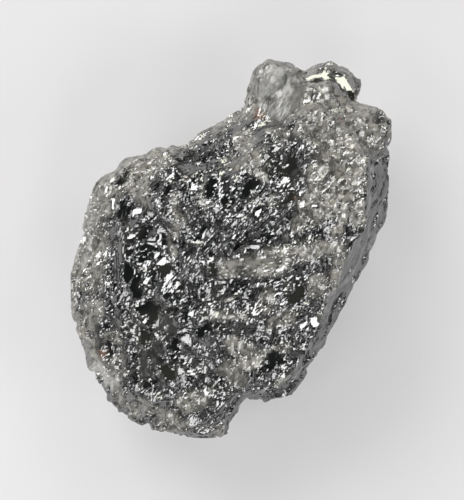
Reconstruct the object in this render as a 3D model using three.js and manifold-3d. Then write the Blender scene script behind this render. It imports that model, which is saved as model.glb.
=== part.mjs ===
// A rough diamond: one natural stone of about four carats, a blocky, resorbed crystal with a broad
// etched face on top, a steep wall on the right, two rounded nodules grown on one end, and a small
// natural flat underneath, which it rests on.
//
// Millimetres, +Z up. +Y runs along the stone towards the nodules and +X towards the steep wall.
// The origin is the middle of the bounding box at the level of the flat.

import * as THREE from "three";
import { mergeVertices } from "three/addons/utils/BufferGeometryUtils.js";
import Module from "manifold-3d";

const wasm = await Module();
wasm.setup();

// The middle of the stone, which every part of the surface can be seen from, the half lengths of the
// ellipsoid that shares out the mesh's points over the stone, and how much they crowd towards the top.
const HEART = new THREE.Vector3(0, -0.3, 2.9);
const SPREAD = new THREE.Vector3(4.3, 4.9, 3.1);
const CROWDING_UP = 0.35;
const SPHERE_DETAIL = 21;
const MERGE_DISTANCE = 1e-5;

// The sides, as pairs of planes that meet at the stone's widest line: the way each faces, how far out
// its widest line is, how high that lies, and how far its plane leans back above and below it.
const SIDES = [
  { faces: -3, reach: 4.22, level: 2.6, leansAbove: 10, leansBelow: 14 },
  { faces: 42, reach: 5.2, level: 3.5, leansAbove: 20, leansBelow: 24 },
  { faces: 85, reach: 4.0, level: 3.5, leansAbove: 27, leansBelow: 18 },
  { faces: 119, reach: 3.0, level: 3.4, leansAbove: 22, leansBelow: 8 },
  { faces: 172, reach: 3.98, level: 3.0, leansAbove: 30, leansBelow: 20 },
  { faces: 188, reach: 4.35, level: 2.7, leansAbove: 32, leansBelow: 25 },
  { faces: 216, reach: 5.0, level: 2.9, leansAbove: 34, leansBelow: 21 },
  { faces: 243, reach: 5.36, level: 3.0, leansAbove: 30, leansBelow: 29 },
  { faces: 270, reach: 5.2, level: 3.3, leansAbove: 14, leansBelow: 24 },
  { faces: 310, reach: 3.93, level: 3.6, leansAbove: 7, leansBelow: 24 },
  { faces: 334.5, reach: 3.56, level: 2.2, leansAbove: 8, leansBelow: 12 },
];
const EDGE_ROUNDING = 0.2;

// The faces on top and the bevels underneath: the way each falls away, how steeply, and a point on it.
const TOP_FACES = {
  main: { falls: 190, slope: 11, through: [3.05, 1.55, 6.1] },
  lowerLeft: { falls: 222, slope: 27, through: [-2.0, -2.3, 4.85] },
  nodulesEnd: { falls: 75, slope: 21, through: [3.0, 1.9, 6.0] },
  back: { falls: 128, slope: 24, through: [-0.9, 1.8, 5.2] },
};
const BEVELS = [
  { falls: 14, slope: 50, through: [3.0, 0.7, 0.95] },
  { falls: 78, slope: 33, through: [0.5, 2.6, 0.55] },
  { falls: 152, slope: 54, through: [-2.2, 1.2, 1.0] },
  { falls: 206, slope: 36, through: [-2.5, -1.2, 0.7] },
  { falls: 262, slope: 42, through: [-0.4, -3.0, 0.9] },
  { falls: 320, slope: 57, through: [1.9, -1.7, 0.9] },
];

// Everything below this level is cut off, which leaves the flat.
const FLAT_LEVEL = 0;

// Lumps that grew on the block: centre, radii, and how softly each joins it.
const LUMPS = {
  roundNodule: { at: [1.26, 4.2, 3.7], radii: [0.76, 0.78, 0.8], blend: 0.22 },
  farNodule: { at: [2.74, 4.2, 3.5], radii: [0.72, 0.72, 0.85], blend: 0.2 },
  domeBeforeIt: { at: [2.5, 3.78, 4.35], radii: [0.72, 0.6, 0.7], blend: 0.15 },
  neckOfNodules: { at: [1.9, 3.5, 3.8], radii: [1.3, 0.7, 1.0], blend: 0.35 },
  shoulder: { at: [3.45, 3.1, 4.35], radii: [0.85, 0.72, 0.95], blend: 0.35 },
  leftCorner: { at: [-3.0, 1.4, 3.5], radii: [0.55, 0.52, 0.8], blend: 0.3 },
  leftRim: { at: [-2.3, 1.92, 3.7], radii: [0.8, 0.48, 0.8], blend: 0.3 },
  backRim: { at: [-1.5, 2.22, 3.8], radii: [0.66, 0.46, 0.66], blend: 0.3 },
  leftBulge: { at: [-3.2, -1.3, 3.1], radii: [1.05, 1.5, 1.2], blend: 0.4 },
  ledgeOuter: { at: [1.0, -3.74, 1.9], radii: [0.68, 0.5, 0.6], blend: 0.25 },
  ledgeInner: { at: [1.66, -3.35, 2.1], radii: [0.54, 0.45, 0.6], blend: 0.3 },
  lowerLobe: { at: [-0.75, -4.25, 3.8], radii: [0.9, 0.86, 0.95], blend: 0.3 },
};

// Ridges on the main face, as polylines of [x, y], with how thick each is and how far it stands proud.
const RIDGES = [
  { path: [[-0.4, -0.5], [0.5, -0.25], [1.5, -0.1], [2.5, 0.1]], radius: 0.34, proud: 0.14 },
  { path: [[2.2, 3.5], [2.7, 3.2], [3.2, 2.8], [3.4, 2.3], [3.35, 1.9], [3.0, 1.3]], radius: 0.3, proud: 0.16 },
  { path: [[3.0, 1.3], [2.85, 0.3], [2.7, -0.9]], radius: 0.26, proud: 0.1 },
  { path: [[1.7, 3.4], [2.1, 2.6], [2.3, 1.8]], radius: 0.3, proud: 0.12 },
  { path: [[0.2, 2.6], [0.8, 2.1], [1.0, 1.5]], radius: 0.3, proud: 0.1 },
  { path: [[-1.5, 2.0], [-1.7, 1.2], [-1.2, 0.4]], radius: 0.3, proud: 0.1 },
  { path: [[-0.6, -1.9], [0.3, -1.8], [1.2, -2.0]], radius: 0.3, proud: 0.1 },
];
const RIDGE_BLEND = 0.2;

// Pits and hollows on the main face: middle, radius across and along, and depth. They fade out away
// from the face's own level.
const PITS = [
  { at: [-0.65, 2.3], across: 0.45, along: 0.3, depth: 0.16 },
  { at: [0.5, 1.6], across: 0.48, along: 0.44, depth: 0.18 },
  { at: [1.65, 2.0], across: 0.36, along: 0.8, depth: 0.16 },
  { at: [-2.75, -0.75], across: 0.42, along: 0.62, depth: 0.12 },
  { at: [-1.9, -1.7], across: 0.5, along: 0.5, depth: 0.14 },
  { at: [2.0, -1.1], across: 0.6, along: 0.55, depth: 0.16 },
  { at: [3.1, 2.1], across: 0.3, along: 0.5, depth: 0.14 },
  { at: [-3.0, 1.0], across: 0.4, along: 0.4, depth: 0.1 },
];
const PIT_FADE = 0.8;

// The bite between the lower lobe and the ledge, and the step that leaves the ledge standing out
// under the main face: tall scoops, open to the side and to the top.
const SCOOPS = {
  notch: { at: [0.62, -4.75, 4.4], radii: [0.48, 0.88, 2.1], blend: 0.12 },
  step: { at: [1.75, -4.3, 4.3], radii: [1.35, 0.76, 1.9], blend: 0.2 },
};

// Relief over the whole stone: rounded hills, chipped facets and growth steps, as size and height.
const ROLLING = [
  { size: 1.6, height: 0.1 },
  { size: 0.8, height: 0.03 },
];
const CHIPS = [
  { size: 1.3, height: 0.16 },
  { size: 0.75, height: 0.09 },
];
const CHIP = { scatter: 0.45, lean: 0.7, bulge: 1.1, jump: 0.15 };
const STEPS = { spacing: 1.1, height: 0.03, wave: 1.8, waver: 0.6, along: [0.35, 0.45, 0.82] };

// Which random draws each kind of relief takes.
const DRAWS = { rolling: 10, chips: 20, steps: 40 };
const DRAWS_PER_CHIP = 10;

// How often the mesh's edges are laid afresh to follow the ridges, how much nearer to the surface a
// new edge has to run, and the least that its two faces may each have of their normal's length along
// the old faces'.
const RELAYING = { rounds: 6, gain: 0.8, least: 0.25 };

// How the walk in from FARTHEST to the surface goes.
const FARTHEST = 8;
const WALK = { steps: 200, closeEnough: 0.001, share: 0.3, least: 0.0008 };

// A number from -1 to 1 that belongs to one corner of the integer lattice.
function lattice(x, y, z, draw) {
  let h = Math.imul(x, 374761393) + Math.imul(y, 668265263) + Math.imul(z, 974634777);
  h = Math.imul(h + Math.imul(draw, 461845907), 2246822519);
  h = Math.imul(h ^ (h >>> 15), 3266489917);
  h ^= h >>> 13;
  return ((h >>> 0) / 4294967295) * 2 - 1;
}

const ease = (t) => t * t * (3 - 2 * t);

// Smooth random hills of one size.
function hills(p, size, draw) {
  const [x, y, z] = [p.x / size, p.y / size, p.z / size];
  const [ix, iy, iz] = [Math.floor(x), Math.floor(y), Math.floor(z)];
  const [fx, fy, fz] = [ease(x - ix), ease(y - iy), ease(z - iz)];
  let sum = 0;
  for (let corner = 0; corner < 8; corner++) {
    const [a, b, c] = [corner & 1, (corner >> 1) & 1, corner >> 2];
    const share = (a ? fx : 1 - fx) * (b ? fy : 1 - fy) * (c ? fz : 1 - fz);
    sum += share * lattice(ix + a, iy + b, iz + c, draw);
  }
  return sum;
}

// How high the chip of one cell of space is above a point, in cell sizes: it leans its own way and
// bulges a little.
function chipHeight(p, size, [x, y, z], draw) {
  const random = (k) => lattice(x, y, z, draw + k);
  const ox = p.x / size - (x + 0.5 + CHIP.scatter * random(0));
  const oy = p.y / size - (y + 0.5 + CHIP.scatter * random(1));
  const oz = p.z / size - (z + 0.5 + CHIP.scatter * random(2));
  const leaning = CHIP.lean * (ox * random(3) + oy * random(4) + oz * random(5));
  const bulging = CHIP.bulge * (ox * ox + oy * oy + oz * oz);
  return leaning - bulging + CHIP.jump * random(6);
}

// Chipped facets of one size: the highest chip near the point is the surface there.
function chips(p, size, draw) {
  const [x, y, z] = [Math.floor(p.x / size), Math.floor(p.y / size), Math.floor(p.z / size)];
  let height = -Infinity;
  for (let dx = -1; dx <= 1; dx++) {
    for (let dy = -1; dy <= 1; dy++) {
      for (let dz = -1; dz <= 1; dz++) {
        height = Math.max(height, chipHeight(p, size, [x + dx, y + dy, z + dz], draw));
      }
    }
  }
  return height;
}

const smoothMax = (a, b, r) => Math.max(a, b) + (Math.max(r - Math.abs(a - b), 0) ** 2) / (4 * r);
const smoothMin = (a, b, r) => -smoothMax(-a, -b, r);
const radians = THREE.MathUtils.degToRad;

// The plane through a point whose outward normal faces one way and rises by one angle.
function planeOf(faces, rises, x, y, z) {
  const flat = Math.cos(radians(rises));
  const normal = new THREE.Vector3(
    flat * Math.cos(radians(faces)),
    flat * Math.sin(radians(faces)),
    Math.sin(radians(rises)),
  );
  return new THREE.Plane().setFromNormalAndCoplanarPoint(normal, new THREE.Vector3(x, y, z));
}

function sidePlanes({ faces, reach, level, leansAbove, leansBelow }) {
  const x = reach * Math.cos(radians(faces));
  const y = reach * Math.sin(radians(faces));
  return [planeOf(faces, leansAbove, x, y, level), planeOf(faces, -leansBelow, x, y, level)];
}

const BLOCK = [
  ...SIDES.flatMap(sidePlanes),
  ...Object.values(TOP_FACES).map(({ falls, slope, through }) => planeOf(falls, 90 - slope, ...through)),
  ...BEVELS.map(({ falls, slope, through }) => planeOf(falls, slope - 90, ...through)),
];

// How high the top faces lie over a point.
function topLevel(x, y) {
  const level = ({ falls, slope, through }) => {
    const away = (x - through[0]) * Math.cos(radians(falls)) + (y - through[1]) * Math.sin(radians(falls));
    return through[2] - away * Math.tan(radians(slope));
  };
  return Math.min(...Object.values(TOP_FACES).map(level));
}

function ellipsoid(p, at, radii) {
  const [x, y, z] = [(p.x - at[0]) / radii[0], (p.y - at[1]) / radii[1], (p.z - at[2]) / radii[2]];
  return (Math.hypot(x, y, z) - 1) * Math.min(...radii);
}

// A ridge's straight pieces, laid just under the top faces.
function ridgeLines({ path, radius, proud }) {
  const points = path.map(([x, y]) => new THREE.Vector3(x, y, topLevel(x, y) + proud - radius));
  return points.slice(1).map((point, i) => ({ line: new THREE.Line3(points[i], point), radius }));
}

const RIDGE_LINES = RIDGES.flatMap(ridgeLines);
const nearestOnLine = new THREE.Vector3();

function ridgeGap(p, { line, radius }) {
  line.closestPointToPoint(p, true, nearestOnLine);
  return nearestOnLine.distanceTo(p) - radius;
}

function pitDepth(p, { at, across, along, depth }) {
  const away = Math.hypot((p.x - at[0]) / across, (p.y - at[1]) / along);
  const near = Math.max(0, 1 - Math.abs(p.z - topLevel(...at)) / PIT_FADE);
  return away < 1 ? depth * ease(1 - away) * ease(near) : 0;
}

const STEPS_WAY = new THREE.Vector3(...STEPS.along).normalize();

// Low growth steps, one above the other up the stone, on slightly wavy lines.
function growthSteps(p) {
  const climb = p.dot(STEPS_WAY) / STEPS.spacing + STEPS.waver * hills(p, STEPS.wave, DRAWS.steps);
  return 2 * ease(climb - Math.floor(climb)) - 1;
}

function relief(p) {
  let height = STEPS.height * growthSteps(p);
  for (const [i, layer] of ROLLING.entries()) {
    height += layer.height * hills(p, layer.size, DRAWS.rolling + i);
  }
  for (const [i, layer] of CHIPS.entries()) {
    height += layer.height * chips(p, layer.size, DRAWS.chips + DRAWS_PER_CHIP * i);
  }
  return height;
}

// How far a point is outside the stone, roughly; negative inside.
function outside(p) {
  let far = -Infinity;
  for (const plane of BLOCK) far = smoothMax(far, plane.distanceToPoint(p), EDGE_ROUNDING);
  for (const { at, radii, blend } of Object.values(LUMPS)) {
    far = smoothMin(far, ellipsoid(p, at, radii), blend);
  }
  for (const ridge of RIDGE_LINES) far = smoothMin(far, ridgeGap(p, ridge), RIDGE_BLEND);
  for (const pit of PITS) far += pitDepth(p, pit);
  for (const { at, radii, blend } of Object.values(SCOOPS)) {
    far = smoothMax(far, -ellipsoid(p, at, radii), blend);
  }
  return far - relief(p);
}

// Walks from far away towards the heart until it meets the stone.
function surfacePoint(direction) {
  const p = new THREE.Vector3();
  let reach = FARTHEST;
  for (let i = 0; i < WALK.steps; i++) {
    p.copy(HEART).addScaledVector(direction, reach);
    const gap = outside(p);
    if (gap < WALK.closeEnough) break;
    reach -= Math.max(WALK.share * gap, WALK.least);
  }
  return p;
}

function withoutExtras(geometry) {
  geometry.deleteAttribute("normal");
  geometry.deleteAttribute("uv");
  return mergeVertices(geometry, MERGE_DISTANCE);
}

// How far from the surface the middle of an edge runs.
function edgeError(a, b) {
  return Math.abs(outside(new THREE.Vector3().addVectors(a, b).multiplyScalar(0.5)));
}

const faceNormal = (a, b, c) => new THREE.Triangle(a, b, c).getNormal(new THREE.Vector3());

// Where two faces share an edge that cuts across a ridge or a valley, the other diagonal of the two
// takes its place.
function relayEdges(geometry) {
  const position = geometry.attributes.position;
  const index = geometry.index.array;
  const point = (i) => new THREE.Vector3().fromBufferAttribute(position, i);
  const key = (i, j) => (i < j ? i * position.count + j : j * position.count + i);
  const edges = new Map();
  for (let face = 0; face < index.length; face += 3) {
    for (let k = 0; k < 3; k++) {
      const [i, j, apex] = [0, 1, 2].map((turn) => index[face + ((k + turn) % 3)]);
      edges.set(key(i, j), [...(edges.get(key(i, j)) ?? []), { face, i, j, apex }]);
    }
  }
  const changed = new Set();
  for (const [one, other] of edges.values()) {
    if (changed.has(one.face) || changed.has(other.face) || edges.has(key(one.apex, other.apex))) continue;
    const [a, b, c, d] = [one.i, one.j, one.apex, other.apex].map(point);
    if (edgeError(c, d) > RELAYING.gain * edgeError(a, b)) continue;
    const old = faceNormal(a, b, c).add(faceNormal(b, a, d)).normalize();
    const ahead = Math.min(old.dot(faceNormal(a, d, c)), old.dot(faceNormal(d, b, c)));
    if (ahead < RELAYING.least) continue;
    index.set([one.i, other.apex, one.apex], one.face);
    index.set([other.apex, one.j, one.apex], other.face);
    changed.add(one.face).add(other.face);
    edges.set(key(one.apex, other.apex), edges.get(key(one.i, one.j)));
  }
}

// The stone's skin: a fine sphere whose points are drawn in to the surface.
function skin() {
  const geometry = withoutExtras(new THREE.IcosahedronGeometry(1, SPHERE_DETAIL));
  const position = geometry.attributes.position;
  const direction = new THREE.Vector3();
  for (let i = 0; i < position.count; i++) {
    direction.fromBufferAttribute(position, i);
    direction.z += CROWDING_UP;
    direction.multiply(SPREAD).normalize();
    const p = surfacePoint(direction);
    position.setXYZ(i, p.x, p.y, p.z);
  }
  for (let round = 0; round < RELAYING.rounds; round++) relayEdges(geometry);
  return geometry;
}

function toManifold(geometry) {
  return new wasm.Manifold(
    new wasm.Mesh({
      numProp: 3,
      vertProperties: new Float32Array(geometry.attributes.position.array),
      triVerts: new Uint32Array(geometry.index.array),
    }),
  );
}

function toGeometry(solid) {
  const mesh = solid.getMesh();
  const geometry = new THREE.BufferGeometry();
  geometry.setAttribute("position", new THREE.BufferAttribute(mesh.vertProperties, 3));
  geometry.setIndex(new THREE.BufferAttribute(mesh.triVerts, 1));
  return geometry;
}

// All the space under the flat.
function spaceBelow() {
  const block = new THREE.BoxGeometry(3 * FARTHEST, 3 * FARTHEST, FARTHEST);
  block.translate(0, 0, FLAT_LEVEL - FARTHEST / 2);
  return toManifold(withoutExtras(block));
}

// Moves the origin to the middle of the stone's box, at the level of the flat.
function centre(geometry) {
  geometry.computeBoundingBox();
  const middle = geometry.boundingBox.getCenter(new THREE.Vector3());
  geometry.translate(-middle.x, -middle.y, -geometry.boundingBox.min.z);
  return geometry;
}

const stone = centre(toGeometry(toManifold(skin()).subtract(spaceBelow())));
stone.computeVertexNormals();

const smokyDiamond = new THREE.MeshStandardMaterial({ color: 0x6b6b68, roughness: 0.25, metalness: 0 });

const diamond = new THREE.Mesh(stone, smokyDiamond);
diamond.name = "rough_diamond";

const group = new THREE.Group();
group.add(diamond);

export default group;
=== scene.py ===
"""A loose rough diamond on a pale table, seen from straight above: its looks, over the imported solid."""
import math

import bpy
import numpy as np
from mathutils import Euler, Matrix, Vector


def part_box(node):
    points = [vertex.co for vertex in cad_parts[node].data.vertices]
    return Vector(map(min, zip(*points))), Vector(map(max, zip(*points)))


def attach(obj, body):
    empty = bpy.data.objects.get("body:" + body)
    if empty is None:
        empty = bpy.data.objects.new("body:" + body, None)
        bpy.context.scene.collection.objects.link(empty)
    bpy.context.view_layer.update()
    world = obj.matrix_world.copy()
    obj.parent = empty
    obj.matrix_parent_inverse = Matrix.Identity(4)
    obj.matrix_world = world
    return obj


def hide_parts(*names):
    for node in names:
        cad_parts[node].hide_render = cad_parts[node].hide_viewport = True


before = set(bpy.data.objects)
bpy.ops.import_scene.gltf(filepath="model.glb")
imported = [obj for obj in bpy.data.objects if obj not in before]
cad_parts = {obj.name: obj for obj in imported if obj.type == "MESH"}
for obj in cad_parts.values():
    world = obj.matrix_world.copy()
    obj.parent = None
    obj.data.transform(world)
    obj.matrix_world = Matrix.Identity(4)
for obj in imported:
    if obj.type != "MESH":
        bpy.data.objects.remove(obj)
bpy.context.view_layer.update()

MM = 0.001

# The photograph's frame, the size of one of its pixels at the stone's middle height, and a long lens.
PHOTO_WIDTH, PHOTO_HEIGHT = 464, 500
STONE_CENTRE_PIXEL = (230.5, 248.5)
PIXEL = 0.0266 * MM
MIDDLE_HEIGHT = 3.4 * MM
CAMERA_LENS = 400
SENSOR = 36
NEAREST_SEEN = 0.1
FARTHEST_SEEN = 20


def make_camera():
    """Looks straight down with the photograph's framing, image up being +Y."""
    data = bpy.data.cameras.new("camera")
    data.lens = CAMERA_LENS
    data.sensor_width = SENSOR
    distance = PHOTO_HEIGHT * PIXEL * CAMERA_LENS / SENSOR
    data.clip_start = distance * NEAREST_SEEN
    data.clip_end = distance * FARTHEST_SEEN
    camera = bpy.data.objects.new("camera", data)
    camera.location = (
        (PHOTO_WIDTH / 2 - STONE_CENTRE_PIXEL[0]) * PIXEL,
        (STONE_CENTRE_PIXEL[1] - PHOTO_HEIGHT / 2) * PIXEL,
        MIDDLE_HEIGHT + distance,
    )
    bpy.context.scene.collection.objects.link(camera)
    bpy.context.scene.camera = camera


# The stone's surface. Everything from here to the material is in millimetres.
VOXEL = 0.056
SMOOTHING_ROUNDS = 8
ROUNDING_ROUNDS = 35
EVENING_ROUNDS = 40
DRAWN_IN = 0.5
DRAWN_OUT = -0.52
MOST_RELIEF = 0.16
FARTHEST_FROM_NEIGHBOURS = 0.045

# The streaks on the top: the way that they point, and the fine scratches within the facets.
STREAK_WAY = 52
SCRATCH_SIZE = 0.055
SCRATCH_DEPTH = 0.01
SCRATCH_STRETCH = 2.5

# Pale veils in the top of the stone: lines in plan that each follows, and half its width.
VEIL_LINES = [
    ([(-0.45, -0.6), (0.5, -0.3), (1.3, -0.25), (2.4, 0.0)], 0.36),
    ([(2.0, 3.6), (2.7, 3.2), (3.15, 2.8), (3.3, 2.2), (3.15, 1.75), (2.9, 1.3)], 0.32),
    ([(3.0, 1.3), (2.8, 0.5), (2.85, -0.5), (2.7, -1.2), (2.55, -2.2), (2.1, -3.0)], 0.24),
    ([(1.0, 3.5), (1.6, 3.75), (2.1, 3.6)], 0.3),
    ([(-0.5, -1.8), (0.0, -1.85), (0.35, -1.75)], 0.17),
    ([(-1.5, 1.4), (-1.5, 0.8), (-1.4, 0.3)], 0.16),
    ([(0.3, 2.6), (0.8, 2.3)], 0.32),
]
# How full a line is: at 1 it is full only on its middle, and higher it stays full for some way beside it.
LINE_FULLNESS = 1.3

# The soft slopes along the far left edge and round the near left, as lines in plan and half their widths.
FAR_MARGIN = [(-3.6, 1.3), (-3.0, 2.15), (-2.0, 2.5), (-1.2, 3.1), (-0.4, 3.6), (0.1, 3.8)]
FAR_MARGIN_WIDTH = 0.75
NEAR_MARGIN = [
    (-4.2, -1.0), (-3.9, -2.3), (-3.4, -3.2), (-2.7, -4.0),
    (-1.7, -4.65), (-0.5, -4.9), (0.1, -4.7),
]
NEAR_MARGIN_WIDTH = 0.4
NEAR_RIM_WIDTH = 1.8 * NEAR_MARGIN_WIDTH

# A spot is an oval in plan: its middle, half width, half length and the way that it points in degrees. It
# fades out over this part of the way to its outline.
SPOT_RIM = 0.35

# Smooth dark windows, as spots, and how far they tilt.
WINDOWS = [
    (-2.74, -0.62, 0.22, 0.36, 95),
    (-2.8, 0.95, 0.28, 0.4, 80),
    (-2.3, 0.4, 0.2, 0.28, 60),
    (-2.86, 1.9, 0.14, 0.26, 30),
    (-2.5, -1.0, 0.22, 0.4, 70),
    (-0.55, 2.43, 0.19, 0.32, 10),
    (-0.55, 1.58, 0.22, 0.36, 50),
    (0.5, 1.6, 0.24, 0.3, 30),
    (0.0, 1.28, 0.22, 0.34, 20),
    (-1.35, 0.15, 0.16, 0.17, 0),
    (-0.75, 0.48, 0.14, 0.3, 60),
    (-1.05, -0.1, 0.13, 0.28, 50),
    (-0.55, -0.55, 0.18, 0.24, 90),
    (-1.98, 1.58, 0.12, 0.22, 20),
    (-1.64, 1.48, 0.16, 0.24, 75),
    (1.6, 2.1, 0.2, 0.42, 85),
    (1.48, 1.3, 0.16, 0.24, 40),
    (-2.3, -0.2, 0.14, 0.3, 60),
    (-2.25, -1.58, 0.25, 0.4, 10),
    (-1.56, -1.69, 0.15, 0.35, 30),
    (-2.27, -2.38, 0.2, 0.3, 80),
    (-1.56, -2.65, 0.25, 0.27, 0),
    (-1.66, -3.23, 0.15, 0.3, 140),
    (-2.67, -3.39, 0.18, 0.22, 60),
    (-2.2, -3.55, 0.22, 0.28, 0),
    (-3.2, -2.57, 0.15, 0.3, 100),
    (-0.7, -2.17, 0.15, 0.25, 30),
    (1.75, -1.1, 0.18, 0.3, 60),
    (-1.45, -2.98, 0.14, 0.22, 100),
    (0.2, 0.95, 0.13, 0.2, 20),
]
WINDOW_TILT = 4

# Broad parts that are darker than the rest, as spots.
SHADES = [
    (-2.35, -0.35, 0.9, 1.9, 85),
    (1.65, 1.75, 0.4, 0.9, 80),
    (-1.5, -0.95, 0.3, 0.3, 0),
    (-2.6, -1.95, 0.3, 0.4, 60),
    (-0.95, 1.5, 0.2, 0.5, 100),
    (-0.15, 2.05, 0.25, 0.4, 90),
    (-2.1, -3.4, 0.5, 0.6, 0),
    (-1.35, -2.95, 0.4, 0.5, 0),
    (1.35, 1.35, 0.25, 0.3, 0),
    (-0.2, -1.1, 0.3, 0.9, 30),
    (1.2, -2.85, 0.3, 0.35, 0),
    (0.1, 0.95, 0.3, 0.4, 0),
    (-1.75, -2.1, 1.0, 1.9, 105),
    (-0.6, -2.35, 0.5, 0.8, 20),
    (1.5, -1.1, 0.3, 0.4, 60),
]

# Broad parts that are paler, as spots.
PALE_PARTS = [
    (2.3, 1.3, 0.55, 0.8, 30),
    (2.4, 3.3, 0.6, 0.8, 20),
    (1.0, -0.35, 0.4, 0.9, 15),
    (0.1, 2.35, 0.4, 0.5, 0),
    (-2.5, 1.7, 0.35, 0.5, 60),
    (-1.6, 0.2, 0.22, 0.45, 90),
    (2.3, -0.95, 0.25, 0.45, 60),
    (3.05, 1.8, 0.4, 0.8, 100),
    (-3.18, 1.24, 0.4, 0.5, 70),
    (1.3, 3.0, 0.35, 0.45, 0),
    (0.3, 2.85, 0.3, 0.4, 20),
    (2.3, 0.95, 0.35, 0.6, 0),
    (1.0, -1.3, 0.25, 0.4, 100),
    (0.46, -2.83, 0.35, 0.4, 0),
    (0.7, 2.0, 0.25, 0.45, 150),
    (2.2, 1.95, 0.3, 0.45, 0),
    (1.35, -1.9, 0.25, 0.35, 0),
    (-0.1, -3.15, 0.3, 0.35, 0),
    (-0.9, -3.95, 0.35, 0.7, 20),
    (3.35, 0.9, 0.35, 0.5, 90),
    (0.1, -2.6, 0.3, 0.35, 0),
    (-3.6, -1.8, 0.3, 0.45, 90),
    (-1.7, -4.45, 0.3, 0.5, 150),
    (0.2, -3.45, 0.3, 0.35, 0),
    (1.8, 0.65, 0.25, 0.35, 0),
    (-3.55, -2.4, 0.2, 0.3, 100),
]

# Rusty specks, as spots.
SPECKS = [
    (0.73, 3.5, 0.14, 0.18, 160),
    (-3.35, -2.7, 0.08, 0.15, 130),
    (1.6, 1.27, 0.07, 0.11, 40),
    (2.9, 3.45, 0.05, 0.08, 0),
    (0.75, 0.1, 0.04, 0.06, 0),
    (-1.3, 1.9, 0.04, 0.06, 30),
]

# Single spots: the round nodule, the dark end of the far one, the glassy corner before it, the low ledge,
# the white patch on the near left edge, a painted highlight where a bright glint shows, and the pale cream
# stretch of the left edge, partly its own pale tone and partly painted light that shows through the thin
# edge.
ROUND_NODULE = (1.22, 4.25, 0.9, 1.0, 90)
FAR_END = (2.95, 4.5, 0.45, 0.8, -30)
GLASSY_CORNER = (3.0, 2.9, 1.1, 1.7, 115)
LEDGE = (1.25, -3.9, 0.5, 1.0, 17)
PAINTED_GLINT_PATCH = (-3.3, -3.3, 0.36, 0.6, 125)
CREAMY_LIT_EDGE = (-3.85, 0.5, 0.45, 1.1, 80)

# Facets that mirror a light, as spots, and how creamy each is, from 0 to 1.
FLASHES = [
    ((2.4, 4.54, 0.2, 0.62, 8), 1.0),
    ((3.0, 4.34, 0.17, 0.5, -42), 1.0),
    ((-2.46, 1.05, 0.13, 0.2, 40), 0.0),
    ((-1.68, 0.02, 0.08, 0.17, 60), 0.0),
    ((-3.1, 1.15, 0.1, 0.18, 60), 0.2),
    ((0.72, 0.95, 0.09, 0.22, 50), 0.0),
    ((2.2, -2.0, 0.09, 0.22, 60), 0.0),
    ((2.3, 1.08, 0.11, 0.24, 30), 0.0),
    ((1.8, 1.42, 0.1, 0.16, 55), 0.0),
    ((-3.3, 1.45, 0.07, 0.2, 95), 0.2),
    ((0.87, 3.74, 0.05, 0.15, 85), 0.0),
    ((1.0, 3.83, 0.04, 0.14, 85), 0.0),
    ((1.14, 3.9, 0.05, 0.15, 80), 0.0),
    ((-3.3, -3.1, 0.13, 0.2, 40), 0.2),
    ((-3.05, -3.3, 0.1, 0.16, 20), 0.2),
    ((-3.2, -3.35, 0.07, 0.12, 90), 0.2),
]
# From this creaminess on, a flash mirrors the warm light instead of the key light.
MIRRORS_WARM_LIGHT = 0.5

# Two of the lights: azimuth, counted in plan from +X, and elevation, in degrees.
KEY_LIGHT = (128, 50)
WARM_LIGHT = (105, 24)

# Fades: the value where each zone starts or ends, and over how far it fades in or out. The tilts are parts
# of the surface's normal, upwards or, for the wall, towards +X, and the rest are heights or places in plan.
TOP_TILT = (0.35, 0.3)
FACING_TILT = (0.1, 0.2)
STEEP_TILT = (0.85, 0.3)
RIGHT_EDGE = (2.9, 0.3)
SIDE_HEIGHT = (1.5, 0.6)
LOW_HEIGHT = (1.8, 1.2)
WALL_TILT = (0.5, 0.2)
WALL_FAR_END = (2.7, 0.4)
LEDGE_HEIGHT = (2.8, 0.3)
GLASSY_FROM = (3.2, 0.5)
LEFT_EDGE = (-3.0, 0.5)
LEFT_EDGE_MIDDLE = 0.8
LEFT_EDGE_REACH = (1.5, 0.8)
CALM_FROM = (-3.5, 0.4)
CALM_TO = (3.2, 0.3)

# Fades of random hills and of flashes, in the same way.
PATCH_LEVEL = (0.5, 0.25)
CALM_LEVEL = (0.35, 0.3)
FLASH_LEVEL = (0.6, 0.3)

# Layers of random hills: how strongly each shows, its size and its draw.
PATCH_HILLS = [(1, 0.8, 510), (0.6, 0.35, 511)]
VEIL_HILLS = [(0.4, 0.4, 512), (0.35, 0.15, 513)]
MARGIN_HILLS = [(0.6, 0.5, 514)]
CALM_HILLS = [(1, 0.6, 520), (0.6, 0.3, 521)]
COARSE_HILLS = [(0.7, 0.9, 531), (0.4, 0.45, 532)]

# How space is moved about, so that the outlines of zones are wavy or torn: reach, size and draw.
WAVY = (0.16, 0.5, 500)
FINELY_TORN = (0.1, 0.17, 540)
COARSELY_TORN = (0.12, 0.4, 545)
LIGHTLY_TORN = (0.06, 0.25, 540)
STREAK_BENDS = (0.5, 1.7, 300)

# How strongly each kind of veil shows, and the mean of its unevenness.
LEFT_EDGE_VEIL = 0.75
PATCH_VEIL = 0.7
LOW_VEIL = 0.4
GLASSY_VEIL = 0.85
PALE_VEIL = 0.8
NODULE_VEIL = 0.9
MOST_VEIL = 0.85
VEIL_MEAN = 0.95
NEAR_MARGIN_MEAN = 0.6
FAR_END_CLEARING = 0.5

# How strongly the dark parts show, and what a shade adds to them and a veil takes away.
CALM_DARKNESS = 0.8
SHADE_CALM = 0.8
VEIL_OVER_DARK = 0.6
# How far the left edge is painted cream: partly its own pale tone, partly painted light that shows through
# the thin edge.
CREAMY_LIT_EDGE_SHARE = 0.35

# How far the margins and the sides are rounded, compared with the wall.
MARGIN_ROUNDING = 0.25
SIDE_ROUNDING = 0.3

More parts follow.
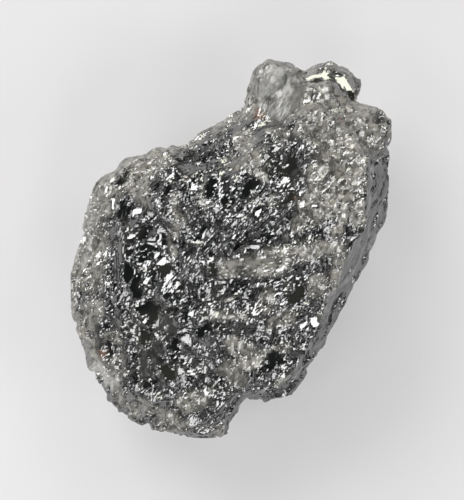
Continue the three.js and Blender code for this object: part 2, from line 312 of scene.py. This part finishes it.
# The least etching anywhere, what the margins and the rim add to it, and what other zones take away.
LEAST_ETCHED = 0.4
MARGIN_ETCHED = 0.5
RIM_ETCHED = 1.3
WALL_SMOOTHNESS = 0.4
VEIL_SMOOTHNESS = 0.15
DARK_SMOOTHNESS = 0.7
SHADE_SMOOTHNESS = 0.3
NODULE_SMOOTHNESS = 0.6
SIDE_SMOOTHNESS = 0.3

# Layers of chips: how strongly each stands out, its size, its draw, and how its chips lean and bulge.
BROAD_CHIPS = (0.25, 0.95, 390, 0.9, 0.5)
LONG_CHIPS = (0.35, 0.5, 400, 0.9, 0.5)
RIDGES = (0.6, 0.21, 440, 1.15, 0.65)
CUTS = (-0.58, 0.34, 420, 1.15, 0.6)
PITS = (-0.2, 0.24, 460, 0.9, 0.8)
LONG_STRETCH = 1.4
FINE_STRETCH = 2.6
# The ridges' cells are moved by this, so that they don't fall on the cuts' cells.
RIDGE_SHIFT = 7.3
# How much of the chips shows where nothing is etched, and what soft, dull and steep zones take from them.
UNETCHED_CHIPS = 0.25
SOFT_CHIPS_LOST = 0.6
DULL_CHIPS_LOST = 0.7
STEEP_CHIPS_LOST = 0.7

# How far a chip's middle may lie from its cell's middle, and how far one may stand above another.
CHIP_SPREAD = 0.45
CHIP_JUMP = 0.15

# Space is turned this way before it is cut into cells, so that no cell wall lies along an axis.
OBLIQUE = np.array(Euler([math.radians(angle) for angle in (31, 47, 23)]).to_matrix())


def lattice(cells, draw):
    """Numbers from -1 to 1 that belong to integer cells of space, scrambled from their coordinates."""
    x, y, z = (cells[:, i].astype(np.int64).astype(np.uint32) for i in range(3))
    h = x * np.uint32(374761393) + y * np.uint32(668265263) + z * np.uint32(974634777)
    h = (h + np.uint32(draw * 461845907 & 0xFFFFFFFF)) * np.uint32(2246822519)
    h = (h ^ (h >> np.uint32(15))) * np.uint32(3266489917)
    h ^= h >> np.uint32(13)
    return h.astype(np.float64) / 0xFFFFFFFF * 2 - 1


def ease(t):
    t = np.clip(t, 0, 1)
    return t * t * (3 - 2 * t)


def rising(values, start, length):
    """0 below start, then rising smoothly to 1 over the length."""
    return ease((values - start) / length)


def falling(values, end, length):
    """1 at first, falling smoothly to 0 at the end over the length."""
    return ease((end - values) / length)


def hills(points, size, draw):
    """Smooth random hills of one size, from -1 to 1."""
    scaled = points @ OBLIQUE / size
    cell = np.floor(scaled)
    share = ease(scaled - cell)
    total = np.zeros(len(points))
    for corner in range(8):
        step = np.array([corner & 1, corner >> 1 & 1, corner >> 2])
        weight = np.prod(np.where(step, share, 1 - share), axis=1)
        total += weight * lattice(cell + step, draw)
    return total


def layered_hills(points, layers):
    return sum(strength * hills(points, size, draw) for strength, size, draw in layers)


def chips(points, strength, size, draw, lean, bulge):
    """The highest of tilted, slightly bulging chips, one in each cell of space, in millimetres."""
    scaled = points @ OBLIQUE / size
    cell = np.floor(scaled)
    highest = np.full(len(points), -np.inf)
    for i in range(27):
        near = cell + (i % 3 - 1, i // 3 % 3 - 1, i // 9 - 1)
        middle = near + 0.5 + CHIP_SPREAD * np.stack([lattice(near, draw + k) for k in range(3)], axis=1)
        tilt = np.stack([lattice(near, draw + k) for k in (3, 4, 5)], axis=1)
        offset = scaled - middle
        height = lean * np.sum(offset * tilt, axis=1) - bulge * np.sum(offset**2, axis=1)
        height += CHIP_JUMP * lattice(near, draw + 6)
        highest = np.maximum(highest, height)
    return strength * highest * size


def rebuilt_mesh(node):
    """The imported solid's mesh, rebuilt as small even squares, in millimetres."""
    copy = bpy.data.objects.new("rebuilt", node.data.copy())
    bpy.context.scene.collection.objects.link(copy)
    copy.data.transform(Matrix.Scale(1 / MM, 4))
    remesh = copy.modifiers.new("remesh", "REMESH")
    remesh.mode = "VOXEL"
    remesh.voxel_size = VOXEL
    depsgraph = bpy.context.evaluated_depsgraph_get()
    mesh = bpy.data.meshes.new_from_object(copy.evaluated_get(depsgraph))
    bpy.data.objects.remove(copy)
    return mesh


def read_vectors(items, name):
    flat = np.empty(len(items) * 3)
    items.foreach_get(name, flat)
    return flat.reshape(-1, 3)


def read_edges(mesh):
    flat = np.empty(len(mesh.edges) * 2, np.int64)
    mesh.edges.foreach_get("vertices", flat)
    return flat.reshape(-1, 2)


def write_points(mesh, points):
    mesh.vertices.foreach_set("co", points.ravel())
    mesh.update()


def neighbours_average(values, edges, count):
    total = [
        np.bincount(edges[:, 0], column[edges[:, 1]], len(values))
        + np.bincount(edges[:, 1], column[edges[:, 0]], len(values))
        for column in values.T
    ]
    return np.stack(total, axis=1) / count[:, None]


def smoothed(values, edges, rounds, share=1.0, amounts=(DRAWN_IN,)):
    """Values drawn towards their neighbours' by each amount in turn; a negative one undoes shrinking."""
    count = np.bincount(edges.ravel(), minlength=len(values))
    for _ in range(rounds):
        for amount in amounts:
            values = values + amount * share * (neighbours_average(values, edges, count) - values)
    return values


def without_spikes(points, edges):
    """Points that stand too far from their neighbours' average, drawn back to it."""
    count = np.bincount(edges.ravel(), minlength=len(points))
    for _ in range(2):
        average = neighbours_average(points, edges, count)
        away = np.linalg.norm(points - average, axis=1)
        points = np.where((away > FARTHEST_FROM_NEIGHBOURS)[:, None], average, points)
    return points


def wandering(points, reach, size, draw):
    """Points moved about by smooth random hills."""
    return points + reach * np.stack([hills(points, size, draw + i) for i in range(3)], axis=1)


def ragged(points):
    """Points moved about so that an oval in them has a torn outline."""
    return wandering(wandering(points, *FINELY_TORN), *COARSELY_TORN)


def streak_space(points, stretch):
    """Space squeezed along the streaks, so that cells in it come out long that way."""
    bent = wandering(points, *STREAK_BENDS)
    c, s = math.cos(math.radians(STREAK_WAY)), math.sin(math.radians(STREAK_WAY))
    along = (c * bent[:, 0] + s * bent[:, 1]) / stretch
    across = c * bent[:, 1] - s * bent[:, 0]
    return np.stack([along, across, bent[:, 2]], axis=1)


def near_line(points, path, width):
    """1 on a line in plan, falling to 0 at its half width."""
    nearest = np.full(len(points), np.inf)
    plan = points[:, :2]
    for start, end in zip(path, path[1:]):
        start, run = np.array(start), np.subtract(end, start)
        share = np.clip((plan - start) @ run / (run @ run), 0, 1)
        nearest = np.minimum(nearest, np.linalg.norm(plan - start - share[:, None] * run, axis=1))
    return ease(LINE_FULLNESS * (1 - nearest / width))


def near_spot(points, x, y, across, along, turn):
    """1 in an oval in plan, falling to 0 at its outline."""
    c, s = math.cos(math.radians(turn)), math.sin(math.radians(turn))
    dx, dy = points[:, 0] - x, points[:, 1] - y
    away = np.hypot((c * dx + s * dy) / along, (c * dy - s * dx) / across)
    return falling(away, 1, SPOT_RIM)


def near_spots(points, spots):
    return np.max([near_spot(points, *spot) for spot in spots], axis=0)


class Zones:
    """How etched, veiled, dark, soft or steep each point of the stone is, and how much painted cream light
    it takes, mostly from 0 to 1.
    """

    def __init__(self, points, normals):
        self.points = points
        self.height = points[:, 2]
        self.up = normals[:, 2]
        self.wavy = wandering(points, *WAVY)
        self.torn = ragged(points)
        self.top = rising(self.up, *TOP_TILT)
        self.side = falling(self.up, *TOP_TILT) * falling(self.height, *SIDE_HEIGHT)
        self.shade = near_spots(self.wavy, SHADES)
        self.window = self.top * near_spots(self.torn, WINDOWS)
        self.dull = near_spot(self.wavy, *ROUND_NODULE)
        self.glassy = np.maximum(
            near_spot(self.wavy, *GLASSY_CORNER), rising(self.wavy[:, 1], *GLASSY_FROM)
        )
        self.find_wall(normals)
        self.find_margins()
        self.find_softness()
        self.find_dark()
        self.find_veil()
        self.find_colours()
        self.find_etching()

    def find_wall(self, normals):
        """The steep wall on the right, and the ledge below the near end."""
        wall = rising(normals[:, 0], *WALL_TILT) * falling(self.wavy[:, 1], *WALL_FAR_END)
        ledge = near_spot(self.points, *LEDGE) * falling(self.height, *LEDGE_HEIGHT)
        self.wall = np.maximum(wall, ledge)

    def find_margins(self):
        """The soft slopes along the left edge, and the whole rim round the near left."""
        from_middle = abs(self.wavy[:, 1] - LEFT_EDGE_MIDDLE)
        left = falling(self.wavy[:, 0], *LEFT_EDGE) * (1 - rising(from_middle, *LEFT_EDGE_REACH))
        far = near_line(self.wavy, FAR_MARGIN, FAR_MARGIN_WIDTH)
        broken = ease(NEAR_MARGIN_MEAN + layered_hills(self.points, MARGIN_HILLS))
        near = near_line(self.wavy, NEAR_MARGIN, NEAR_MARGIN_WIDTH) * broken
        self.margin = np.maximum.reduce([LEFT_EDGE_VEIL * left, far, near])
        self.rim = near_line(self.wavy, NEAR_MARGIN, NEAR_RIM_WIDTH)

    def find_softness(self):
        """How far the surface is rounded, and where it is too steep for broad chips."""
        rounded = [self.dull, self.wall, MARGIN_ROUNDING * self.margin, SIDE_ROUNDING * self.side]
        self.soft = np.maximum.reduce(rounded)
        steep = np.maximum(falling(self.up, *STEEP_TILT), rising(self.wavy[:, 0], *RIGHT_EDGE))
        self.steep = steep * (1 - self.wall)

    def find_dark(self):
        """The windows and the calm, smoother parts between the etched ones."""
        calm = layered_hills(self.points, CALM_HILLS) + SHADE_CALM * self.shade
        calm = rising(calm, *CALM_LEVEL) * (1 - self.rim)
        calm *= rising(self.wavy[:, 0], *CALM_FROM) * falling(self.wavy[:, 0], *CALM_TO)
        self.dark = np.maximum(CALM_DARKNESS * calm * (1 - self.soft), self.window)

    def find_veil(self):
        """The pale veils, which the windows and the wall cut through."""
        lines = np.max([near_line(self.wavy, path, width) for path, width in VEIL_LINES], axis=0)
        low = falling(self.height, *LOW_HEIGHT)
        patches = layered_hills(self.points, PATCH_HILLS) + LOW_VEIL * low
        patches = rising(patches, *PATCH_LEVEL)
        veil = np.maximum.reduce([
            lines * self.top,
            PATCH_VEIL * patches * (1 - self.shade),
            self.margin,
            GLASSY_VEIL * self.glassy,
            PALE_VEIL * near_spots(self.wavy, PALE_PARTS),
        ])
        veil *= VEIL_MEAN + layered_hills(self.points, VEIL_HILLS)
        veil = np.maximum(np.clip(veil, 0, MOST_VEIL), NODULE_VEIL * self.dull)
        veil *= (1 - self.window) * (1 - self.wall)
        self.veil = veil * (1 - FAR_END_CLEARING * near_spot(self.wavy, *FAR_END))
        self.dark *= 1 - VEIL_OVER_DARK * self.veil

    def find_colours(self):
        # Painted light: the left edge's cream is partly its own pale tone and partly light through the thin
        # edge.
        creamy_lit_edge = CREAMY_LIT_EDGE_SHARE * near_spot(self.torn, *CREAMY_LIT_EDGE)
        # The glint patch near the left is a painted highlight in pale cream.
        self.cream_light = np.maximum(creamy_lit_edge, near_spot(self.torn, *PAINTED_GLINT_PATCH))
        self.rust = near_spots(self.torn, SPECKS)

    def find_etching(self):
        """How deep the fine marks are; over 1 in the coarsest parts."""
        coarse = 1 + layered_hills(self.points, COARSE_HILLS)
        least = LEAST_ETCHED + MARGIN_ETCHED * self.margin + RIM_ETCHED * self.rim
        side = self.side * (1 - self.glassy)
        self.etched = np.maximum(coarse, least) * (1 - self.window)
        for zone, smoothness in (
            (self.wall, WALL_SMOOTHNESS),
            (self.veil, VEIL_SMOOTHNESS),
            (self.dark, DARK_SMOOTHNESS),
            (self.shade, SHADE_SMOOTHNESS),
            (self.dull, NODULE_SMOOTHNESS),
            (side, SIDE_SMOOTHNESS),
        ):
            self.etched *= 1 - smoothness * zone

    def add_flashes(self, shares):
        """Marks the facets that mirror a light, given each one's share of the points."""
        self.flash = np.max(shares, axis=0)
        self.dark = np.maximum(self.dark, rising(self.flash, *FLASH_LEVEL))
        creamy = [cream_light * share for (spot, cream_light), share in zip(FLASHES, shares)]
        self.cream_flash = np.max(creamy, axis=0)


def facing_share(moved, normals, spot):
    """1 inside a spot, on what faces up, where moved gives the points with their outline torn."""
    return near_spot(moved, *spot) * rising(normals[:, 2], *FACING_TILT)


def flash_shares(points, normals):
    """Each flash's share of the points; those that mirror the warm light are less torn."""
    torn, lightly_torn = ragged(points), wandering(points, *LIGHTLY_TORN)
    return [
        facing_share(lightly_torn if cream_light > MIRRORS_WARM_LIGHT else torn, normals, spot)
        for spot, cream_light in FLASHES
    ]


def flattened(points, share, tilt_azimuth, tilt):
    """Points moved up or down onto one plane, where share is 1."""
    if share.max() < 0.5:
        return points
    middle = np.average(points, axis=0, weights=share)
    a, slope = math.radians(tilt_azimuth), math.tan(math.radians(tilt))
    away = points - middle
    level = middle[2] - slope * (away[:, 0] * math.cos(a) + away[:, 1] * math.sin(a))
    points = points.copy()
    points[:, 2] += share * (level - points[:, 2])
    return points


def relief(points, edges, zones):
    """How far each point stands out, in millimetres: broad chips, and the fine marks of the etching."""
    fine = streak_space(points, FINE_STRETCH)
    chipped = UNETCHED_CHIPS + (1 - UNETCHED_CHIPS) * zones.etched
    chipped *= (1 - SOFT_CHIPS_LOST * zones.soft) * (1 - DULL_CHIPS_LOST * zones.dull)
    marks = (chips(fine + RIDGE_SHIFT, *RIDGES) + chips(fine, *CUTS)) * zones.etched
    marks += chips(points, *PITS) * chipped
    marks -= zones.steep * smoothed(marks[:, None], edges, EVENING_ROUNDS)[:, 0]
    broad = (chips(points, *BROAD_CHIPS) + chips(streak_space(points, LONG_STRETCH), *LONG_CHIPS)) * chipped
    broad = (broad - np.median(broad)) * (1 - STEEP_CHIPS_LOST * zones.steep)
    return np.clip(broad + marks, -MOST_RELIEF, MOST_RELIEF)


def sculpted(points, mesh, edges):
    """The stone's points with its rounded, etched, smooth and flashing parts, and its zones."""
    zones = Zones(points, read_vectors(mesh.vertices, "normal"))
    points = smoothed(points, edges, ROUNDING_ROUNDS, zones.soft[:, None], (DRAWN_IN, DRAWN_OUT))
    write_points(mesh, points)
    normals = read_vectors(mesh.vertices, "normal")
    for window in WINDOWS:
        share = facing_share(ragged(points), normals, window)
        points = flattened(points, share, window[4], WINDOW_TILT)
    shares = flash_shares(points, normals)
    zones.add_flashes(shares)
    points = points + (relief(points, edges, zones) * (1 - zones.flash))[:, None] * normals
    for (spot, cream_light), share in zip(FLASHES, shares):
        azimuth, elevation = WARM_LIGHT if cream_light > MIRRORS_WARM_LIGHT else KEY_LIGHT
        points = flattened(points, share, azimuth, (90 - elevation) / 2)
    return without_spikes(points, edges), zones


# The zones that the material reads, as attributes of the mesh.
MATERIAL_ZONES = ("veil", "dark", "cream_light", "wall", "dull", "rust", "cream_flash")


def make_stone():
    mesh = rebuilt_mesh(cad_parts["rough_diamond"])
    edges = read_edges(mesh)
    points = smoothed(read_vectors(mesh.vertices, "co"), edges, SMOOTHING_ROUNDS)
    write_points(mesh, points)
    points, zones = sculpted(points, mesh, edges)
    low, high = (np.array(corner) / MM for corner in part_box("rough_diamond"))
    write_points(mesh, np.clip(points, low, high) * MM)
    for name in MATERIAL_ZONES:
        layer = mesh.attributes.new(name, "FLOAT", "POINT")
        layer.data.foreach_set("value", getattr(zones, name))
    mesh.shade_flat()
    mesh.name = "stone"
    mesh.materials.clear()
    mesh.materials.append(stone_material())
    stone = bpy.data.objects.new("stone", mesh)
    bpy.context.scene.collection.objects.link(stone)
    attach(stone, "root")
    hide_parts("rough_diamond")


class Nodes:
    """Short ways to add and join shader nodes."""

    def __init__(self, tree):
        self.tree = tree

    def add(self, kind, **settings):
        node = self.tree.nodes.new("ShaderNode" + kind)
        for name, value in settings.items():
            setattr(node, name, value)
        return node

    def join(self, source, target):
        self.tree.links.new(source, target)

    def fill(self, socket, value):
        """Gives a socket a colour or a number, or joins another socket to it."""
        if isinstance(value, bpy.types.NodeSocket):
            self.join(value, socket)
        elif isinstance(value, tuple):
            socket.default_value = (*value, 1)
        else:
            socket.default_value = value

    def attribute(self, name):
        return self.add("Attribute", attribute_name=name).outputs["Fac"]

    def mix_colours(self, share, a, b):
        """a where share is 0 and b where it is 1; a and b are colours or sockets."""
        node = self.add("Mix", data_type="RGBA")
        self.fill(node.inputs["Factor"], share)
        self.fill(node.inputs[6], a)
        self.fill(node.inputs[7], b)
        return node.outputs[2]

    def mix_numbers(self, share, a, b):
        """a where share is 0 and b where it is 1; a and b are numbers or sockets."""
        node = self.add("Mix", data_type="FLOAT")
        self.fill(node.inputs["Factor"], share)
        self.fill(node.inputs[2], a)
        self.fill(node.inputs[3], b)
        return node.outputs[0]

    def product(self, first, *others):
        for other in others:
            node = self.add("Math", operation="MULTIPLY")
            self.join(first, node.inputs[0])
            self.join(other, node.inputs[1])
            first = node.outputs[0]
        return first

    def between(self, value, low, high):
        """0 where value is under low, 1 where it is over high."""
        node = self.add("MapRange", interpolation_type="SMOOTHSTEP")
        self.join(value, node.inputs["Value"])
        node.inputs["From Min"].default_value = low
        node.inputs["From Max"].default_value = high
        return node.outputs["Result"]

    def noise(self, vector, scale, detail):
        texture = self.add("TexNoise")
        texture.inputs["Scale"].default_value = scale
        texture.inputs["Detail"].default_value = detail
        self.join(vector, texture.inputs["Vector"])
        return texture.outputs["Fac"]

    def blotches(self, size, detail, low, high):
        """Soft blotches about size millimetres wide: 0 where the noise is under low, 1 where over high."""
        coordinates = self.add("TexCoord").outputs["Object"]
        return self.between(self.noise(coordinates, 1 / (size * MM), detail), low, high)

    def scratches(self):
        """Fine streaks within the facets, as a bump that the dark parts don't have."""
        turn = self.add("Mapping", vector_type="TEXTURE")
        turn.inputs["Rotation"].default_value = (0, 0, math.radians(STREAK_WAY))
        turn.inputs["Scale"].default_value = (SCRATCH_STRETCH, 1, 1)
        self.join(self.add("TexCoord").outputs["Object"], turn.inputs["Vector"])
        bump = self.add("Bump")
        bump.inputs["Distance"].default_value = SCRATCH_DEPTH * MM
        self.join(self.noise(turn.outputs["Vector"], 1 / (SCRATCH_SIZE * MM), 1), bump.inputs["Height"])
        self.join(self.mix_numbers(self.attribute("dark"), 1.0, 0.0), bump.inputs["Strength"])
        return bump.outputs["Normal"]


# Blotches in the colours: size in millimetres, detail, and the noise values that they start and end at.
PEPPER = (0.15, 2.0, 0.4, 0.65)
MOTTLING = (0.16, 3.0, 0.36, 0.62)
MURKINESS = (0.9, 1.0, 0.45, 0.6)

# The stone's colours; those in pairs are outside and inside their blotches.
BODY_COLOURS = ((0.006, 0.007, 0.008), (0.028, 0.027, 0.024))
VEIL_COLOURS = ((0.12, 0.115, 0.098), (0.5, 0.475, 0.41))
DULL_COLOURS = ((0.05, 0.05, 0.04), (0.2, 0.19, 0.165))
DARK_COLOURS = ((0.006, 0.007, 0.006), (0.04, 0.039, 0.031))
# The wall and the ledge get a plain dark tone: partly the stone's own dark body, partly painted shade for
# the shadowed right side and ledge.
WALL_SHADE_COLOUR = (0.012, 0.014, 0.012)
# Pale cream painted as light: the highlight on the glint patch, and light through the thin left edge over
# some of its own pale tone.
PAINTED_CREAM_LIGHT = (0.72, 0.71, 0.67)
RUST_COLOUR = (0.2, 0.1, 0.055)
CREAM_FLASH_COLOUR = (0.1, 0.105, 0.08)

# Roughness and the share of light let in, for the clear body, the veils and the dull nodule.
ROUGHNESS = {"body": 0.08, "veil": 0.15, "dull": 0.36}
LETS_IN = {"body": 0.45, "veil": 0.3, "dull": 0.1}

# Diamond bends light this much. The absorption is per metre.
DIAMOND_IOR = 2.42
ABSORPTION_COLOUR = (0.4, 0.41, 0.42, 1)
ABSORPTION_DENSITY = 4000


def stone_colour(n):
    mottling = n.blotches(*MOTTLING)
    body = n.mix_colours(n.blotches(*PEPPER), *BODY_COLOURS)
    veil = n.mix_colours(mottling, *VEIL_COLOURS)
    dull = n.mix_colours(mottling, *DULL_COLOURS)
    dark = n.mix_colours(n.blotches(*MURKINESS), *DARK_COLOURS)
    veil = n.mix_colours(n.attribute("dull"), veil, dull)
    colour = n.mix_colours(n.attribute("veil"), body, veil)
    # Partly painted shade: the wall and the ledge take the plain dark tone of their shadowed side.
    colour = n.mix_colours(n.attribute("wall"), colour, WALL_SHADE_COLOUR)
    colour = n.mix_colours(n.attribute("dark"), colour, dark)
    # Painted light in cream: the glint patch's painted highlight and the light through the thin left edge.
    colour = n.mix_colours(n.attribute("cream_light"), colour, PAINTED_CREAM_LIGHT)
    colour = n.mix_colours(n.attribute("rust"), colour, RUST_COLOUR)
    return n.mix_colours(n.attribute("cream_flash"), colour, CREAM_FLASH_COLOUR)


def by_clearness(n, values):
    """A number that differs between the clear body, the veils and the dull nodule."""
    veiled = n.mix_numbers(n.attribute("veil"), values["body"], values["veil"])
    return n.mix_numbers(n.attribute("dull"), veiled, values["dull"])


def stone_material():
    material = bpy.data.materials.new("diamond")
    material.use_nodes = True
    tree = material.node_tree
    shader, output = tree.nodes["Principled BSDF"], tree.nodes["Material Output"]
    n = Nodes(tree)
    n.join(stone_colour(n), shader.inputs["Base Color"])
    n.join(by_clearness(n, ROUGHNESS), shader.inputs["Roughness"])
    n.join(by_clearness(n, LETS_IN), shader.inputs["Transmission Weight"])
    n.join(n.scratches(), shader.inputs["Normal"])
    shader.inputs["IOR"].default_value = DIAMOND_IOR
    absorption = n.add("VolumeAbsorption")
    absorption.inputs["Color"].default_value = ABSORPTION_COLOUR
    absorption.inputs["Density"].default_value = ABSORPTION_DENSITY
    n.join(absorption.outputs["Volume"], output.inputs["Volume"])
    return material


# The floor, in metres. It glows a little, as a white table under soft light all round does.
FLOOR_HALF = 0.5
FLOOR_COLOUR = (0.48, 0.472, 0.478, 1)
FLOOR_ROUGHNESS = 0.7
FLOOR_SPECULAR = 0.2
FLOOR_GLOW_COLOUR = (1, 0.99, 1, 1)
FLOOR_GLOW = 0.287


def make_floor():
    mesh = bpy.data.meshes.new("floor")
    low, high = -FLOOR_HALF, FLOOR_HALF
    mesh.from_pydata([(low, low, 0), (high, low, 0), (high, high, 0), (low, high, 0)], [], [(0, 1, 2, 3)])
    floor = bpy.data.objects.new("floor", mesh)
    bpy.context.scene.collection.objects.link(floor)
    material = bpy.data.materials.new("pale floor")
    material.use_nodes = True
    shader = material.node_tree.nodes["Principled BSDF"]
    shader.inputs["Base Color"].default_value = FLOOR_COLOUR
    shader.inputs["Roughness"].default_value = FLOOR_ROUGHNESS
    shader.inputs["Specular IOR Level"].default_value = FLOOR_SPECULAR
    shader.inputs["Emission Color"].default_value = FLOOR_GLOW_COLOUR
    shader.inputs["Emission Strength"].default_value = FLOOR_GLOW
    mesh.materials.append(material)


# The surround: its colours at the horizon and overhead, and its pale patches with their colour.
HORIZON_COLOUR = (0.25, 0.25, 0.25)
OVERHEAD_COLOUR = (0.034, 0.038, 0.041)
PATCH_COLOUR = (4.2, 4.2, 4.15)
PATCH_SCALE = 2.6
PATCH_DETAIL = 2
# Heights run from 0 at the horizon to 1 overhead: where the dimming ends, and the band that holds patches.
DIMMEST_FROM = 0.95
BAND_FADES_IN = (0.2, 0.5)
BAND_FADES_OUT = (0.975, 0.84)
PATCH_EDGE = (0.5, 0.78)
# The direction in plan from which most of the light comes, and how strong the patches are away from it.
BRIGHTER_WAY = (0.8, 0.6, 0)
BRIGHTER_SIDE = (-0.4, 0.05)
DIMMER_PATCHES = 0.25


def make_world():
    """A dim surround, darkest overhead where the lens would be, with pale patches round it."""
    world = bpy.data.worlds.new("studio")
    bpy.context.scene.world = world
    world.use_nodes = True
    n = Nodes(world.node_tree)
    direction = n.add("TexCoord").outputs["Generated"]
    separate = n.add("SeparateXYZ")
    n.join(direction, separate.inputs["Vector"])
    height = separate.outputs["Z"]
    dim = n.mix_colours(n.between(height, 0.0, DIMMEST_FROM), HORIZON_COLOUR, OVERHEAD_COLOUR)
    band = n.product(n.between(height, *BAND_FADES_IN), n.between(height, *BAND_FADES_OUT))
    towards = n.add("VectorMath", operation="DOT_PRODUCT")
    n.join(direction, towards.inputs[0])
    towards.inputs[1].default_value = BRIGHTER_WAY
    strength = n.mix_numbers(n.between(towards.outputs["Value"], *BRIGHTER_SIDE), DIMMER_PATCHES, 1.0)
    patches = n.between(n.noise(direction, PATCH_SCALE, PATCH_DETAIL), *PATCH_EDGE)
    colour = n.mix_colours(n.product(patches, band, strength), dim, PATCH_COLOUR)
    n.join(colour, world.node_tree.nodes["Background"].inputs["Color"])


# Soft boxes round the stone: azimuth, elevation, width in metres, and radiance.
SOFT_BOX_DISTANCE = 0.6
SOFT_BOXES = [
    (*KEY_LIGHT, 0.28, 6.2),
    (175, 34, 0.24, 3.0),
    (78, 38, 0.20, 4.4),
    (32, 54, 0.14, 4.8),
    (338, 36, 0.20, 3.0),
    (292, 52, 0.18, 5.4),
    (238, 40, 0.22, 4.0),
    (205, 62, 0.11, 5.8),
]
WARM_BOX = (*WARM_LIGHT, 0.16, 5.2)
WARM_TINT = (1.0, 1.0, 0.86)


def soft_box(name, azimuth, elevation, size, radiance, tint=(1, 1, 1)):
    """A square light that faces the stone; azimuth is counted in plan from +X."""
    data = bpy.data.lights.new(name, "AREA")
    data.size = size
    data.energy = radiance * size * size * math.pi
    data.color = tint
    light = bpy.data.objects.new(name, data)
    a, e = math.radians(azimuth), math.radians(elevation)
    way = Vector((math.cos(a) * math.cos(e), math.sin(a) * math.cos(e), math.sin(e)))
    light.location = way * SOFT_BOX_DISTANCE
    light.rotation_mode = "QUATERNION"
    light.rotation_quaternion = way.to_track_quat("Z", "Y")
    bpy.context.scene.collection.objects.link(light)


def make_lights():
    for i, box in enumerate(SOFT_BOXES):
        soft_box(f"soft box {i}", *box)
    soft_box("warm box", *WARM_BOX, WARM_TINT)


make_camera()
make_stone()
make_floor()
make_world()
make_lights()
bpy.context.scene.view_settings.view_transform = "Standard"
